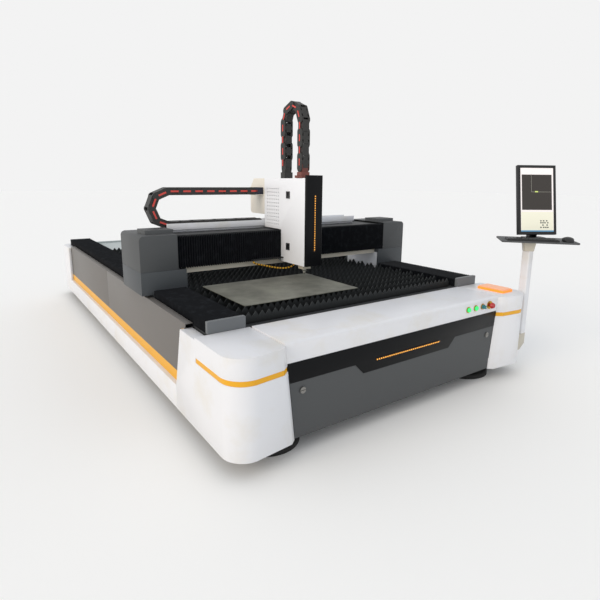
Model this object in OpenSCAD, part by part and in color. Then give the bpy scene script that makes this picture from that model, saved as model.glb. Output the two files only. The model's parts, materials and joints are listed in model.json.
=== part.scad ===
// Sheet metal laser cutting machine: a covered bed with a table of toothed slats, a gantry that
// runs along it, a cutting head that crosses the gantry, a scrap drawer and an operator's console.
// X runs across the bed, Y from its front to its back and Z up from the floor.

/* [Bed] */
// Width of the bed over its skirts
bed_w = 2325; // [2200:5:2500]
// Length of the bed over its covers
bed_l = 4440; // [4100:10:5200]
// Gap between the floor and the covers
floor_gap = 90; // [70:1:120]
// Height of the bed's covers above that gap
body_h = 500; // [480:1:530]
// Height of the white skirt
skirt_h = 140; // [110:1:180]
// Height of the orange band above the skirt
band_h = 64; // [40:1:90]
// Step from the skirt in to the side panels
panel_inset = 25; // [15:1:40]
// Rise of the side panels over the deck
panel_lip = 16; // [10:1:24]
// Thickness of the sheet covers
cover_t = 4; // [3:0.5:6]
// Joint left between neighbouring covers
seam = 2; // [1:0.5:4]
// Share of the side panel's length in front of its seam
panel_split = 0.49; // [0.4:0.01:0.6]

/* [Corner covers] */
// Thickness of the corner covers
corner_t = 8; // [7:0.5:12]
// Plan radius of the corner covers
corner_r = 120; // [80:1:160]
// Length of the front corner covers at the ledge
corner_len = 684; // [620:1:760]
// Lean of their rear edge
corner_rake = 15; // [5:1:22]
// Turn of their front back towards the drawer
corner_sweep = 7; // [0:0.5:9]
// Width of the front corner covers at their foot
corner_w = 362.5; // [332.5:0.5:382.5]
// Lean of the sides of the drawer opening
mouth_rake = 6.2; // [3:0.1:8]
// Splay of the walls beside the drawer
mouth_splay = 50; // [30:1:55]
// Length of the rear corner covers
rear_len = 440; // [400:1:520]
// Distance from the bellows' rear end to the bed's back
rear_depth = 140; // [120:1:160]
// Drop of the corner cover's top beside the bellows
top_step = 12; // [6:1:20]
// Height of the orange strip round the front corners
strip_h = 27; // [20:1:36]
// Top of that strip below the deck
strip_drop = 104; // [80:1:130]
// Depth of its groove
groove_d = 6; // [4:0.5:6]
// Thickness of the strip
strip_t = 3; // [1:0.5:3.5]

/* [Front] */
// Depth of the white front, to the bellows caps
front_depth = 397; // [380:1:430]
// Step from the corner covers in to the front face
front_inset = 52; // [48:1:60]
// Height of the front cover's face
front_h = 103; // [92:1:115]
// Rise of the front cover over the deck
front_rise = 10; // [6:1:16]
// Edge radius of the front cover
front_r = 14; // [8:1:20]
// Width of the table's dark edge in front of the bellows caps
front_edge = 24; // [10:1:40]

/* [Drawer] */
// Clearance round the drawer front
drawer_gap = 3; // [2:0.5:5]
// Thickness of the drawer front
drawer_t = 6; // [4:0.5:8]
// Length of the scrap tray
tray_l = 1100; // [900:10:1200]
// Gap between the scrap tray and the foot of the drawer opening
tray_side = 100; // [85:1:160]
// Height of the scrap tray
tray_h = 170; // [140:1:180]
// Height of the black band on the drawer front
band_drop = 100; // [80:1:120]
// Half width of the tongue below that band
tongue_half = 355; // [300:1:420]
// Drop of the tongue below the band
tongue_drop = 60; // [40:1:75]
// Half length of the light strip in the drawer front
glow_half = 268; // [200:1:290]
// Distance of the quarter-turn locks from the foot of the drawer opening
lock_inset = 45; // [35:1:65]
// Height of the locks over the floor gap
lock_z = 254; // [220:1:280]

/* [Table] */
// Gap between the slats' ends and the side beams
slat_gap = 30; // [24:1:45]
// Thickness of a slat
slat_t = 5; // [3:0.5:8]
// Height of a slat's solid web
slat_web = 68; // [60:1:80]
// Height of the teeth
tooth_h = 26; // [18:1:32]
// Number of teeth on a slat
teeth = 40; // [30:1:50]
// Distance between slats
slat_pitch = 115; // [90:1:130]
// Shortest length of the plate behind the slats
plate_l = 946; // [300:1:1640]
// Distance from the deck up to the tips of the teeth
tip_rise = 60; // [50:1:70]
// Size of the work sheet across and along the bed
sheet_size = [845, 590]; // [300:1:1500]
// Thickness of the work sheet
sheet_t = 4; // [1:0.5:10]

/* [Bellows] */
// Width of the bellows over a rail
bellows_w = 215; // [205:1:220]
// Height of the bellows over a rail
bellows_h = 60; // [40:1:66]
// Depth of a fold
fold_d = 11; // [6:0.5:16]
// Distance between folds in front of the gantry
fold_pitch = 17; // [14:1:40]
// Distance between folds behind the gantry
fold_open = 27; // [20:1:60]
// Length of the bellows caps
cap_t = 22; // [12:1:40]

/* [Gantry] */
// Distance from the bed's front to the gantry
gantry_y = 1220; // [1150:1:1400]
// Depth of the gantry's end covers
gantry_d = 430; // [420:1:460]
// Overhang of the gantry's end covers past the bed's sides
gantry_over = 7.5; // [-2.5:0.5:27.5]
// Distance from the rails in to the edge of the end covers
end_inset = 61; // [45:1:80]
// Height of the end covers' foot over the deck
end_rise = 180; // [172:1:200]
// Height of the end covers
end_h = 230; // [220:1:260]
// Edge radius of the end covers
end_r = 30; // [10:1:40]
// Depth of the beam
beam_d = 260; // [230:1:270]
// Height of the beam
beam_h = 205; // [195:1:215]
// Pitch radius of the drive pinions
pinion_r = 60; // [57:1:63]
// Teeth of a drive pinion
pinion_teeth = 12; // [11:1:13]

/* [Cutting head] */
// Width of the head's cover
head_w = 142; // [138:1:200]
// Place of the head's middle across the bed
head_x = -59; // [-300:0.5:300]
// Depth of the head's cover in front of the beam
head_d = 299; // [285:1:320]
// Height of the head's cover
head_h = 606; // [560:1:640]
// Thickness of the black front cover
face_t = 21; // [12:1:24]
// Rise of the nozzle's tip over the slats
nozzle_gap = 27; // [24:1:60]

/* [Cable chains] */
// Bend radius of the chain across the gantry
x_chain_r = 117; // [110:1:130]
// Bend radius of the chain over the head
z_chain_r = 106; // [98:1:110]
// Height of the cross chain's links
x_link_h = 53; // [44:1:56]
// Height of the head chain's links
z_link_h = 54; // [44:1:58]
// Width of the cross chain's links
x_link_w = 98; // [80:1:104]
// Width of the head chain's links
z_link_w = 70; // [60:1:76]
// Links in the cross chain's upper run
x_upper = 8; // [7:1:9]
// Links in its lower run
x_lower = 8; // [6:1:9]
// Links in each straight run of the head chain
z_run = 4; // [3:1:5]

/* [Console] */
// Distance of the console pole from the bed's right side
pole_gap = 67.5; // [-1162.5:0.5:237.5]
// Distance of the pole from the bed's front
pole_y = 85; // [0:1:1400]
// Width of the pole
pole_w = 56; // [50:1:70]
// Height of the pole's top
pole_top = 872; // [780:1:920]
// Height of the pole's foot
pole_foot = 266; // [250:1:300]
// Height of the neck between pole and tray
neck_h = 68; // [50:1:90]
// Size of the console's tray
desk_size = [490, 300]; // [280:1:600]
// Turn of the console away from the bed's front
desk_turn = -50; // [-60:1:0]
// Size of the upright screen
screen_size = [285, 500]; // [240:1:560]
// Turn of the screen on the desk
screen_turn = 19; // [-30:1:30]
// Lean of the screen
screen_lean = 12; // [0:1:20]

/* [Feet] */
// Diameter of the floor pads
pad_d = 360; // [240:1:380]
// Height of the floor pads
pad_h = 30; // [20:1:40]
// Distance of the pads from the bed's sides
pad_side = 332.5; // [300:0.5:362.5]
// Distance of the pads from the ends of the bed
pad_inset = 280; // [240:1:320]
// Diameter of the anchor holes
anchor_d = 18; // [14:1:24]

/* [Hidden] */
$fn = 48;
// Sliding gap, running gap of a shaft, and the lap of one cover under another
clear = 0.3;
run = 0.08;
tuck = 6;

// Colours
white = "#f1efea";
warm_grey = "#7d7a76";
dark_grey = "#4a4d50";
black = "#18191c";
orange = "#f5a623";
steel = "#9a9c9e";
beige = "#b9ae9c";

// Levels and planes of the bed
half_w = bed_w / 2;
ledge_z = floor_gap + skirt_h;
band_top = ledge_z + band_h;
deck_z = floor_gap + body_h;
front_top = deck_z + front_rise;
panel_top = deck_z + panel_lip;
panel_x = half_w - panel_inset;
tip_z = deck_z + tip_rise;
sides_back = bed_l - rear_len - seam;
split_y = corner_len + (sides_back - corner_len) * panel_split;
frame_back = bed_l - rear_depth;
lip_gap = 6;
hollow_z = [floor_gap - 1, deck_z - top_step - corner_t];
groove_z = [deck_z - strip_drop - strip_h, deck_z - strip_drop];
strip_back = front_depth - tuck;
mouth_half = half_w - corner_w;
rear_in = mouth_half + 55;
cover_back = front_depth - front_edge;

// Welded frame
rail_x = half_w - panel_inset - bellows_w / 2 - 45;
beam_in = rail_x - 105;
beam_out = rail_x + 105;
tube_t = 10;
tube_front = 150;
beam_top = deck_z - 50;
beam_foot = floor_gap + 10;
cross_h = 50;
cross_w = 110;
cross_t = 6;
cross_at = [pad_inset, bed_l * 0.3, bed_l * 0.5, bed_l * 0.7, bed_l - pad_inset];
runner_h = 10;
runner_w = 40;
tray_half = mouth_half - tray_side;
runner_x = tray_half - 100;
pad_x = half_w - pad_side;
pad_y = bed_l / 2 - pad_inset;
pad_bevel = 8;
anchor_shift = pad_d / 3;
stud_r = 18;

// Drawer
drawer_y = front_inset;
drawer_foot = floor_gap + 5;
drawer_top = front_top - front_h - drawer_gap;
tray_foot = beam_foot + cross_h + runner_h + clear;
badge_t = 3;
lock_x = mouth_half - lock_inset;
lock_r = 17;
lock_shank = 8;
lock_head = 7;
glow_t = 3;
dot_pitch = 16;
dot_r = 3.5;

// Table
slat_half = beam_in - slat_gap;
slat_foot = tip_z - tooth_h - slat_web;
tooth_w = 2 * slat_half / teeth;
tip_half = 2;
comb_t = 12;
comb_in = slat_half - comb_t;
comb_foot = deck_z - 70;
comb_top = deck_z - 2;
rim_w = 36;
rim_h = 18;
first_slat = front_depth + 58;
slat_count = floor((frame_back - plate_l - 2 * comb_t - first_slat) / slat_pitch) + 1;
last_slat = first_slat + (slat_count - 1) * slat_pitch;
sheet_from = [61 - slat_half, first_slat + slat_pitch];
hopper_top = comb_foot - 10;
hopper_in = tray_half + 15;
hopper_foot = hopper_top - 150;

// Gantry
gantry_back = gantry_y + gantry_d;
gantry_half = half_w + gantry_over;
end_in = rail_x - end_inset;
leg_foot = deck_z + 2;
leg_in = rail_x - 115;
leg_out = gantry_half;
leg_step = rail_x + 107;
leg_step_z = deck_z + 32;
end_foot = deck_z + end_rise;
end_top = end_foot + end_h;
beam_y = gantry_y + 80;
beam_back = beam_y + beam_d;
beam_z = end_foot + 10;
beam_over = beam_z + beam_h;
guide_x = rail_x - 30;
rail_w = 34;
rail_h = 28;
block_w = 70;
block_l = 80;
block_top = beam_top + 60;
post_in = rail_x - 85;
post_out = rail_x + 27;
post_y = [gantry_y + 44, gantry_back - 44];
wall_t = 22;
pocket = 120;
lid_out = gantry_half - 60;
lid_h = 27;
strip_y = gantry_y + 44;
x_rail_h = 28;
x_rail_w = 24;
x_rail_z = [beam_z + 30, beam_over - 55];
x_cover_z = [end_foot + 2, end_top - 10];
x_cover_y = [gantry_y + 5, gantry_y + 42];
tray_front = gantry_y + 250;
tray_back = tray_front + 140;
tray_z = beam_over + 18;
tray_t = 3;
tray_wall = 44;
tray_x = [-end_in + 18, end_in - 124];

// Rack and pinion
axis_y = gantry_y + gantry_d / 2;
rack_line = beam_top + 26;
axis_z = rack_line + pinion_r;
tooth_module = 2 * pinion_r / pinion_teeth;
tooth_pitch = PI * tooth_module;
tooth_over = 0.8 * tooth_module;
tooth_under = 1.1 * tooth_module;
flank = tan(20);
rack_half = 0.21 * tooth_pitch;
root_half = 0.28 * tooth_pitch;
crest_half = 0.09 * tooth_pitch;
rack_x = [rail_x + 30, rail_x + 60];
rack_first = ceil((front_depth + tooth_pitch - axis_y) / tooth_pitch);
rack_last = floor((frame_back - 2 * tooth_pitch - axis_y) / tooth_pitch);
rack_end = [axis_y + rack_first * tooth_pitch, axis_y + (rack_last + 1) * tooth_pitch];
shaft_r = 14;
motor_r = 46;

// Cutting head
head_l = head_x - head_w / 2;
head_r = head_x + head_w / 2;
head_foot = end_foot - 13;
head_top = head_foot + head_h;
head_back = gantry_y + 5;
head_front_y = head_back - head_d;
upper_back = gantry_y + 242;
upper_foot = end_top - 6;
nozzle_x = head_x + 13;
nozzle_y = gantry_y - 180;
nozzle_z = tip_z + nozzle_gap;
column_y = nozzle_y + 112;
plate_y = [head_back, head_back + 33];
glow_z = [head_foot + 103, head_foot + 494];
vent_pitch = 26;
x_block_l = 58;
vent_r = 5;

// Chains
chain_y = tray_front + 10 + x_link_w / 2;
x_low_z = tray_z + tray_t + x_link_h / 2 + 1;
x_high_z = x_low_z + 2 * x_chain_r;
x_bend = head_l - 750;
shelf_z = x_high_z - x_link_h / 2;
shelf_l = 70;
wing_l = 220;
wing_foot = shelf_z - 150;
wing_r = 30;
bend_links = 4;
x_pitch = 2 * x_chain_r * sin(90 / bend_links);
z_pitch = 2 * z_chain_r * sin(90 / bend_links);
chain_front = nozzle_y + 8;
z_chain_y = chain_front + z_chain_r;
z_chain_foot = head_top + face_t + z_link_h / 2 + 23;
plate_t = 7;
bar_t = 6;

// Lamp and push buttons
lamp_from = [half_w - 188, 92];
lamp_to = [half_w - 66, 296];
lamp_h = 22;
lamp_lid = 6;
button_z = front_top - front_h / 2 + 1;
button_x = [for (d = [267, 190, 116, 40]) mouth_half - d];
button_r = 14.5;
shank_r = 9;
stop_r = 21;
ring_t = 4.5;
cap_l = 13;
shank_l = 16;
cap_over = 4;

// Console
pole_at = [half_w + pole_gap, pole_y];
neck_w = 66;
neck_flare = 1.3;
spigot_r = 16;
spigot_h = 40;
plug_t = 14;
pole_edge = 8;
foot_h = 122;
foot_grip = 70;
desk_z = pole_top + neck_h;
desk_t = 12;
desk_from = [-196, -124];
key_at = [-160, -112];
key_size = [330, 120];
mouse_at = [232, -52];
screen_at = [42, 128];
screen_t = 28;
screen_z = [-130, screen_size[1] - 130];
pivot_z = desk_z + desk_t + 150;
pin_r = 6;
ear_r = 12;
ear_x = 20;
ear_t = 8;
stand_y = 22;
stand_foot = [-60, 30];
stand_half = 74;
stand_t = 8;
screen_back = 14;
screen_face = -screen_t - screen_back;
bezel = 14;
panel_t = 5;

// Gas hose below the head, from its fitting round to the arm
hose_r = 6;
hose_route = [[-60, 1140, 782], [-60, 1140, 762], [-63, 1142, 744], [-74, 1150, 727],
    [-97, 1161, 715], [-130, 1171, 710], [-172, 1181, 713], [-220, 1189, 722], [-270, 1196, 735],
    [-318, 1200, 748], [-352, 1202, 757], [-372, 1202, 766], [-378, 1202, 775], [-378, 1202, 784]];
hose_start = hose_route[0];
hose_end = hose_route[len(hose_route) - 1];

// Moves the drawing, which is measured from the bed's front face, to the middle of the bed
module from_front() translate([0, -bed_l / 2, 0]) children();

// Draws its children on both sides of the bed
module both_sides() {
    children();
    mirror([1, 0, 0]) children();
}

// A pair of places on one axis, measured from another place
function shift(from, a, b) = [from + a, from + b];

// Box between two planes on each axis
module span(x, y, z)
    translate([x[0], y[0], z[0]]) cube([x[1] - x[0], y[1] - y[0], z[1] - z[0]]);

// Stretches a Y and Z outline along X
module along_x(x)
    translate([x[0], 0, 0]) rotate([90, 0, 90]) linear_extrude(x[1] - x[0]) children();

// Stretches an X and Z outline along Y
module along_y(y)
    translate([0, y[1], 0]) rotate([90, 0, 0]) linear_extrude(y[1] - y[0]) children();

// Stretches an X and Y outline along Z
module along_z(z) translate([0, 0, z[0]]) linear_extrude(z[1] - z[0]) children();

// Rod with its axis along Y
module rod_y(x, y, z, r)
    translate([x, y[0], z]) rotate([-90, 0, 0]) cylinder(r = r, h = y[1] - y[0]);

// Rod with its axis along X
module rod_x(x, y, z, r)
    translate([x[0], y, z]) rotate([0, 90, 0]) cylinder(r = r, h = x[1] - x[0]);

// Flat rectangle between two corners
module pane(a, b) translate([a[0], a[1]]) square([b[0] - a[0], b[1] - a[1]]);

// Rectangle with all its corners round
module round_pane(a, b, r) {
    pane([a[0] + r, a[1]], [b[0] - r, b[1]]);
    pane([a[0], a[1] + r], [b[0], b[1] - r]);
    for (x = [a[0] + r, b[0] - r], y = [a[1] + r, b[1] - r]) translate([x, y]) circle(r);
}

// Closed skin over rings of points that follow each other
module skin(rings) {
    k = len(rings[0]);
    n = len(rings);
    polyhedron(
        points = [for (ring = rings) each ring],
        faces = concat(
            [[for (j = [k - 1:-1:0]) j]],
            [for (i = [0:n - 2], j = [0:k - 1])
                [i * k + j, i * k + (j + 1) % k, (i + 1) * k + (j + 1) % k, (i + 1) * k + j]],
            [[for (j = [0:k - 1]) (n - 1) * k + j]]));
}

// Height-dependent edges of the front corner covers
function mouth_x(z) = mouth_half + (z - floor_gap) * tan(mouth_rake);
function rake_y(z) = corner_len - (z - ledge_z) * tan(corner_rake);

// Plan of a corner cover with its front turned back by an angle, drawn in by a distance
module corner_plan(length, inner, inset, sweep) {
    edge = half_w - corner_r;
    start = corner_r - (corner_r - inset) / cos(sweep);
    polygon([[edge, length], [inner, length], [inner, start + (edge - inner) * tan(sweep)], [edge, start]]);
    pane([edge, corner_r], [half_w - inset, length]);
    translate([edge, corner_r]) circle(corner_r - inset);
}

// Room outside the drawer opening and its leaning, splayed wall, drawn in by a distance
module mouth_side(inset, z) {
    reach = (front_inset + corner_t) * tan(mouth_splay);
    skin([for (h = z) let (x = mouth_x(h) + inset / cos(mouth_splay))
        [[x, front_inset, h], [x, corner_len + 2, h], [bed_w, corner_len + 2, h],
            [bed_w, -corner_t, h], [x + reach, -corner_t, h]]]);
}

// Body of a front corner cover, drawn in by a distance
module corner_core(inset, z) intersection() {
    along_z(z) corner_plan(corner_len + 1, mouth_half, inset, corner_sweep);
    mouth_side(inset, z);
}

// Side tubes that carry the rails, with an upstand on each edge for the bellows
module side_beams() color(dark_grey) from_front() both_sides() {
    along_y([tube_front, bed_l - tube_front]) difference() {
        pane([beam_in, beam_foot], [beam_out, beam_top]);
        pane([beam_in + tube_t, beam_foot + tube_t], [beam_out - tube_t, beam_top - tube_t]);
    }
    for (x = [beam_in, beam_out - tube_t])
        span([x, x + tube_t], [front_depth, frame_back], [beam_top, deck_z]);
}

// Cross tubes between the side beams
module cross_frame() color(dark_grey) from_front()
    for (y = cross_at) along_x([-beam_in, beam_in]) difference() {
        pane([y - cross_w / 2, beam_foot], [y + cross_w / 2, beam_foot + cross_h]);
        pane([y - cross_w / 2 + cross_t, beam_foot + cross_t],
            [y + cross_w / 2 - cross_t, beam_foot + cross_h - cross_t]);
    }

// Round rubber pads, each with its levelling stud and an anchor hole
module floor_pads() color(black)
    for (x = [-pad_x, pad_x], s = [-1, 1]) translate([x, s * pad_y, 0]) difference() {
        union() {
            cylinder(d = pad_d, h = pad_h - pad_bevel, $fn = 72);
            translate([0, 0, pad_h - pad_bevel])
                cylinder(d1 = pad_d, d2 = pad_d - 2 * pad_bevel, h = pad_bevel, $fn = 72);
            translate([0, 0, pad_h]) cylinder(r1 = 3 * stud_r, r2 = 2 * stud_r, h = stud_r);
            cylinder(r = stud_r, h = beam_foot);
        }
        translate([0, -s * anchor_shift, -1]) cylinder(d = anchor_d, h = pad_h + 2);
    }

// White skirts along both sides, with the ledge that the bands stand on
module skirts() color(white) from_front() both_sides() along_y([corner_len + seam, sides_back]) {
    pane([half_w - cover_t, floor_gap], [half_w, ledge_z]);
    pane([beam_out, ledge_z - cover_t], [half_w - cover_t, ledge_z]);
}

// Outline of a side cover between two heights, with the lean of the corner cover at its front
module leaning_side(z, back)
    polygon([[rake_y(z[0]) - tuck, z[0]], [back, z[0]], [back, z[1]], [rake_y(z[1]) - tuck, z[1]]]);

// Orange bands above the skirts, and a short piece behind the front corner's top
module side_bands() color(orange) from_front() both_sides() {
    along_x([panel_x - cover_t, panel_x]) leaning_side([ledge_z, band_top], sides_back);
    along_x([panel_x + clear, half_w - corner_t])
        rear_edge(-cover_t - clear, -clear, shift(deck_z - top_step, -strip_h, 0));
}

// Grey side panels in two lengths, each with a folded top edge
module side_panels() color(warm_grey) from_front() both_sides() {
    along_x([panel_x - cover_t, panel_x]) leaning_side([band_top, panel_top], split_y);
    along_x([beam_out + lip_gap, panel_x - cover_t])
        leaning_side([panel_top - cover_t, panel_top], split_y);
    for (x = [[panel_x - cover_t, panel_x, band_top],
            [beam_out + lip_gap, panel_x - cover_t, panel_top - cover_t]])
        span([x[0], x[1]], [split_y + seam, sides_back], [x[2], panel_top]);
}

// Front corner cover: a round shell with a leaning rear edge and a splayed wall at the drawer
module corner_front() {
    difference() {
        intersection() {
            corner_core(0, [floor_gap, deck_z]);
            along_x([0, half_w]) polygon([[0, floor_gap], [corner_len, floor_gap],
                [corner_len, ledge_z], [rake_y(deck_z), deck_z], [0, deck_z]]);
        }
        intersection() {
            corner_core(corner_t, hollow_z);
            span([0, half_w], [0, front_inset + 1], hollow_z);
        }
        difference() {
            along_z(hollow_z) corner_plan(corner_len + 1, 0, corner_t, corner_sweep);
            span([-1, half_w], [-1, front_inset], [0, deck_z]);
        }
        span([0, half_w + 1], [front_depth - seam, corner_len + 1], [deck_z - top_step, deck_z + 1]);
        span([0, beam_out + lip_gap], [front_depth, corner_len + 1], [0, deck_z + 1]);
        span([panel_x - cover_t - clear, panel_x + clear],
            [rake_y(deck_z) - tuck - clear, corner_len + 1], [hollow_z[1] - 1, deck_z + 1]);
        difference() {
            span([0, half_w + 1], [-1, strip_back + clear], groove_z);
            corner_core(groove_d, groove_z + [-1, 1]);
        }
    }
    along_x([panel_x + clear, half_w - 1]) rear_edge(0, corner_t, [floor_gap, hollow_z[1] + 1]);
}

// Rear edge of a front corner cover, upright below the ledge and leaning above it
function edge_y(z) = z < ledge_z ? corner_len : rake_y(z);

// Band along that edge, between two distances inside it
module rear_edge(out, inside, z) {
    bend = z[0] < ledge_z ? ledge_z : (z[0] + z[1]) / 2;
    polygon([for (h = [z[0], bend, z[1]]) [edge_y(h) - inside, h],
        for (h = [z[1], bend, z[0]]) [edge_y(h) - out, h]]);
}

module corners_front() color(white) from_front() both_sides() corner_front();

// Orange strips let into the front corner covers, round to the walls at the drawer
module corner_strips() color(orange) from_front() both_sides() {
    z = [groove_z[0] + clear, groove_z[1] - clear];
    intersection() {
        difference() {
            corner_core(groove_d - strip_t, z);
            corner_core(groove_d, z + [-1, 1]);
        }
        along_z(z) {
            pane([0, -1], [half_w, front_inset]);
            pane([half_w - corner_r, -1], [half_w + 1, strip_back]);
        }
    }
}

// Rear corner covers, each closed by a flange at the side panel
module corners_rear() color(white) from_front() both_sides()
    translate([0, bed_l, 0]) mirror([0, 1, 0]) difference() {
        along_z([floor_gap, deck_z]) corner_plan(rear_len, rear_in, 0, 0);
        difference() {
            along_z([floor_gap - 1, deck_z - corner_t]) corner_plan(rear_len + 1, 0, corner_t, 0);
            span([panel_x, half_w], [rear_len - corner_t, rear_len + 2], [0, deck_z]);
        }
        span([0, beam_out + lip_gap], [rear_depth, rear_len + 1], [0, deck_z + 1]);
    }

// Folded cover across the front, with leaning closed ends and the holes of the push buttons
module front_cover() color(white) from_front() difference() {
    front_body(0);
    front_body(cover_t);
    for (x = button_x) rod_y(x, [front_inset - 1, front_inset + cover_t + 1], button_z, shank_r + run);
}

// Body of the front cover, drawn in by a wall
module front_body(wall) intersection() {
    foot = front_top - front_h - wall;
    low = mouth_x(foot) - clear - wall;
    high = mouth_x(front_top) - clear - wall;
    along_x([-half_w, half_w]) front_outline(wall);
    along_y([0, front_depth]) polygon([[-low, foot], [low, foot], [high, front_top], [-high, front_top]]);
}

// Section of the front cover, drawn in by a wall
module front_outline(wall) {
    back = cover_back - wall;
    r = front_r - wall;
    foot = front_top - front_h - wall;
    pane([front_inset + front_r, foot], [back, front_top - wall]);
    pane([front_inset + wall, foot], [front_inset + front_r + 1, front_top - front_r]);
    translate([front_inset + front_r, front_top - front_r]) circle(r);
}

// Rear cover between the rear corners, with a lip that faces the table
module rear_panel() color(white) from_front() along_x([-rear_in + clear, rear_in - clear]) difference() {
    pane([frame_back, floor_gap], [bed_l, deck_z]);
    pane([frame_back + cover_t, floor_gap - 1], [bed_l - cover_t, deck_z - cover_t]);
    pane([frame_back - 1, floor_gap - 1], [frame_back + cover_t + 1, comb_foot]);
}

// Notched angle bars that hold the slats
module slat_combs() color(dark_grey) from_front() both_sides() difference() {
    along_y([first_slat - comb_t, last_slat + comb_t]) {
        pane([comb_in, comb_foot], [slat_half, comb_top]);
        pane([slat_half, comb_foot], [beam_in, comb_foot + comb_t]);
    }
    for (i = [0:slat_count - 1])
        span([comb_in - 1, slat_half + 1], shift(slat_at(i), -slat_t / 2 - clear, slat_t / 2 + clear),
            [slat_foot, comb_top + 1]);
}

function slat_at(i) = first_slat + i * slat_pitch;

// Bar in front of the slats, and the plate behind them with its rim
module table_bars() color(dark_grey) from_front() {
    along_x([-beam_in, beam_in]) {
        table_bar([front_depth, first_slat - comb_t - clear]);
        table_bar([last_slat + 2 * comb_t, frame_back]);
    }
    along_x([tuck - slat_half, slat_half - tuck]) {
        pane([cover_back, deck_z - cover_t], [front_depth + 1, deck_z]);
        pane([frame_back - rim_w, deck_z - 1], [frame_back, deck_z + rim_h]);
    }
}

// Section of a bar, open below
module table_bar(y) difference() {
    pane([y[0], comb_foot], [y[1], deck_z]);
    pane([y[0] + cover_t, comb_foot - 1], [y[1] - cover_t, deck_z - cover_t]);
}

// Saw-toothed slats across the table
module slats() color(steel) from_front() for (i = [0:slat_count - 1])
    along_y(shift(slat_at(i), -slat_t / 2, slat_t / 2)) polygon(concat(
        [[slat_half, slat_foot], [-slat_half, slat_foot]],
        [for (k = [0:teeth - 1], p = tooth_points(-slat_half + k * tooth_w)) p],
        [[slat_half, tip_z - tooth_h]]));

// One tooth: a short flat tip between two leaning flanks
function tooth_points(x) = [[x, tip_z - tooth_h],
    [x + tooth_w / 2 - tip_half, tip_z], [x + tooth_w / 2 + tip_half, tip_z]];

// Sheet of steel that lies on the slats
module work_sheet() color(steel) from_front()
    translate([sheet_from[0], sheet_from[1], tip_z]) cube([sheet_size[0], sheet_size[1], sheet_t]);

// Leaning plates that lead the scrap to the drawer, and the runners that it slides on
module scrap_guides() color(dark_grey) from_front() both_sides() {
    along_y([first_slat, last_slat]) polygon([[beam_in, hopper_top], [beam_in, hopper_top - 2 * cover_t],
        [hopper_in, hopper_foot], [hopper_in, hopper_foot + 2 * cover_t]]);
    span(shift(runner_x, -runner_w / 2, runner_w / 2),
        [cross_at[0] - cross_w / 2, cross_at[1] + cross_w / 2],
        shift(beam_foot + cross_h, 0, runner_h));
}

// Profile rails on the side beams, with the toothed rack beside each
module rails_and_racks() color(steel) from_front() both_sides() {
    along_y([front_depth, frame_back]) rail_section(guide_x, beam_top, rail_w, rail_h);
    along_x(rack_x) polygon(concat(
        [[rack_end[1], beam_top], [rack_end[0], beam_top]],
        [for (k = [rack_first:rack_last], p = rack_tooth(axis_y + (k + 0.5) * tooth_pitch)) p]));
}

// Waisted section of a profile rail that stands on a face
module rail_section(x, z, w, h)
    polygon([[x - w / 2, z], [x + w / 2, z], [x + w / 2, z + 0.35 * h], [x + 0.38 * w, z + 0.5 * h],
        [x + 0.38 * w, z + 0.7 * h], [x + w / 2, z + 0.8 * h], [x + w / 2, z + h], [x - w / 2, z + h],
        [x - w / 2, z + 0.8 * h], [x - 0.38 * w, z + 0.7 * h], [x - 0.38 * w, z + 0.5 * h],
        [x - w / 2, z + 0.35 * h]]);

// One rack tooth round its middle
function rack_tooth(y) = [[y - rack_half - tooth_under * flank, rack_line - tooth_under],
    [y - rack_half + tooth_over * flank, rack_line + tooth_over],
    [y + rack_half - tooth_over * flank, rack_line + tooth_over],
    [y + rack_half + tooth_under * flank, rack_line - tooth_under]];

// Grey caps at both ends of the bellows
module bellows_caps() color(dark_grey) from_front() both_sides()
    for (y = [front_depth, frame_back - cap_t]) along_y([y, y + cap_t])
        round_pane([rail_x - bellows_w / 2, deck_z],
            [rail_x + bellows_w / 2, deck_z + bellows_h + cap_over], cap_over);

// Folded cover over a rail, between two places along it
module rail_bellows(y, pitch) {
    n = 2 * round((y[1] - y[0]) / pitch);
    x = [rail_x - bellows_w / 2, rail_x + bellows_w / 2];
    z = deck_z + bellows_h;
    skin([for (i = [0:n]) let (q = y[0] + (y[1] - y[0]) * i / n, d = fold_d * (i % 2))
        [[x[0] + d, q, deck_z], [x[1] - d, q, deck_z], [x[1] - d, q, z - d], [x[0] + d, q, z - d]]]);
}

module bellows_front() color(black) from_front() both_sides()
    rail_bellows([front_depth + cap_t, gantry_y], fold_pitch);

module bellows_rear() color(black) from_front() both_sides()
    rail_bellows([gantry_back, frame_back - cap_t], fold_open);

// Collars of the push buttons and the plate under the stop button
module button_rings() color(steel) from_front() for (i = [0:3]) difference() {
    out = i == 3 ? stop_r + 6 : button_r + 5;
    hole = i == 3 ? shank_r + 2 : button_r + 0.5;
    rod_y(button_x[i], [front_inset - ring_t, front_inset], button_z, out);
    rod_y(button_x[i], [front_inset - ring_t - 1, front_inset + 1], button_z, hole);
}

// Low warning lamp on the right corner
module signal_lamp() color(orange) from_front() {
    lid_z = deck_z + lamp_h - lamp_lid;
    along_z([deck_z, lid_z]) round_pane(lamp_from, lamp_to, 10);
    along_z([lid_z, deck_z + lamp_h])
        round_pane(lamp_from + [lamp_lid, lamp_lid], lamp_to - [lamp_lid, lamp_lid], 10);
}

// Bracket on the bed's right side that carries the pole
module console_foot() color(beige) from_front()
    along_y([pole_at[1] - pole_w / 2, pole_at[1] + pole_w / 2 + foot_grip])
        polygon([[half_w, pole_foot - foot_h], [half_w + foot_h / 3, pole_foot - foot_h],
            [pole_at[0] + pole_w / 2, pole_foot - foot_h * 2 / 3], [pole_at[0] + pole_w / 2, pole_foot],
            [half_w, pole_foot]]);

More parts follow.
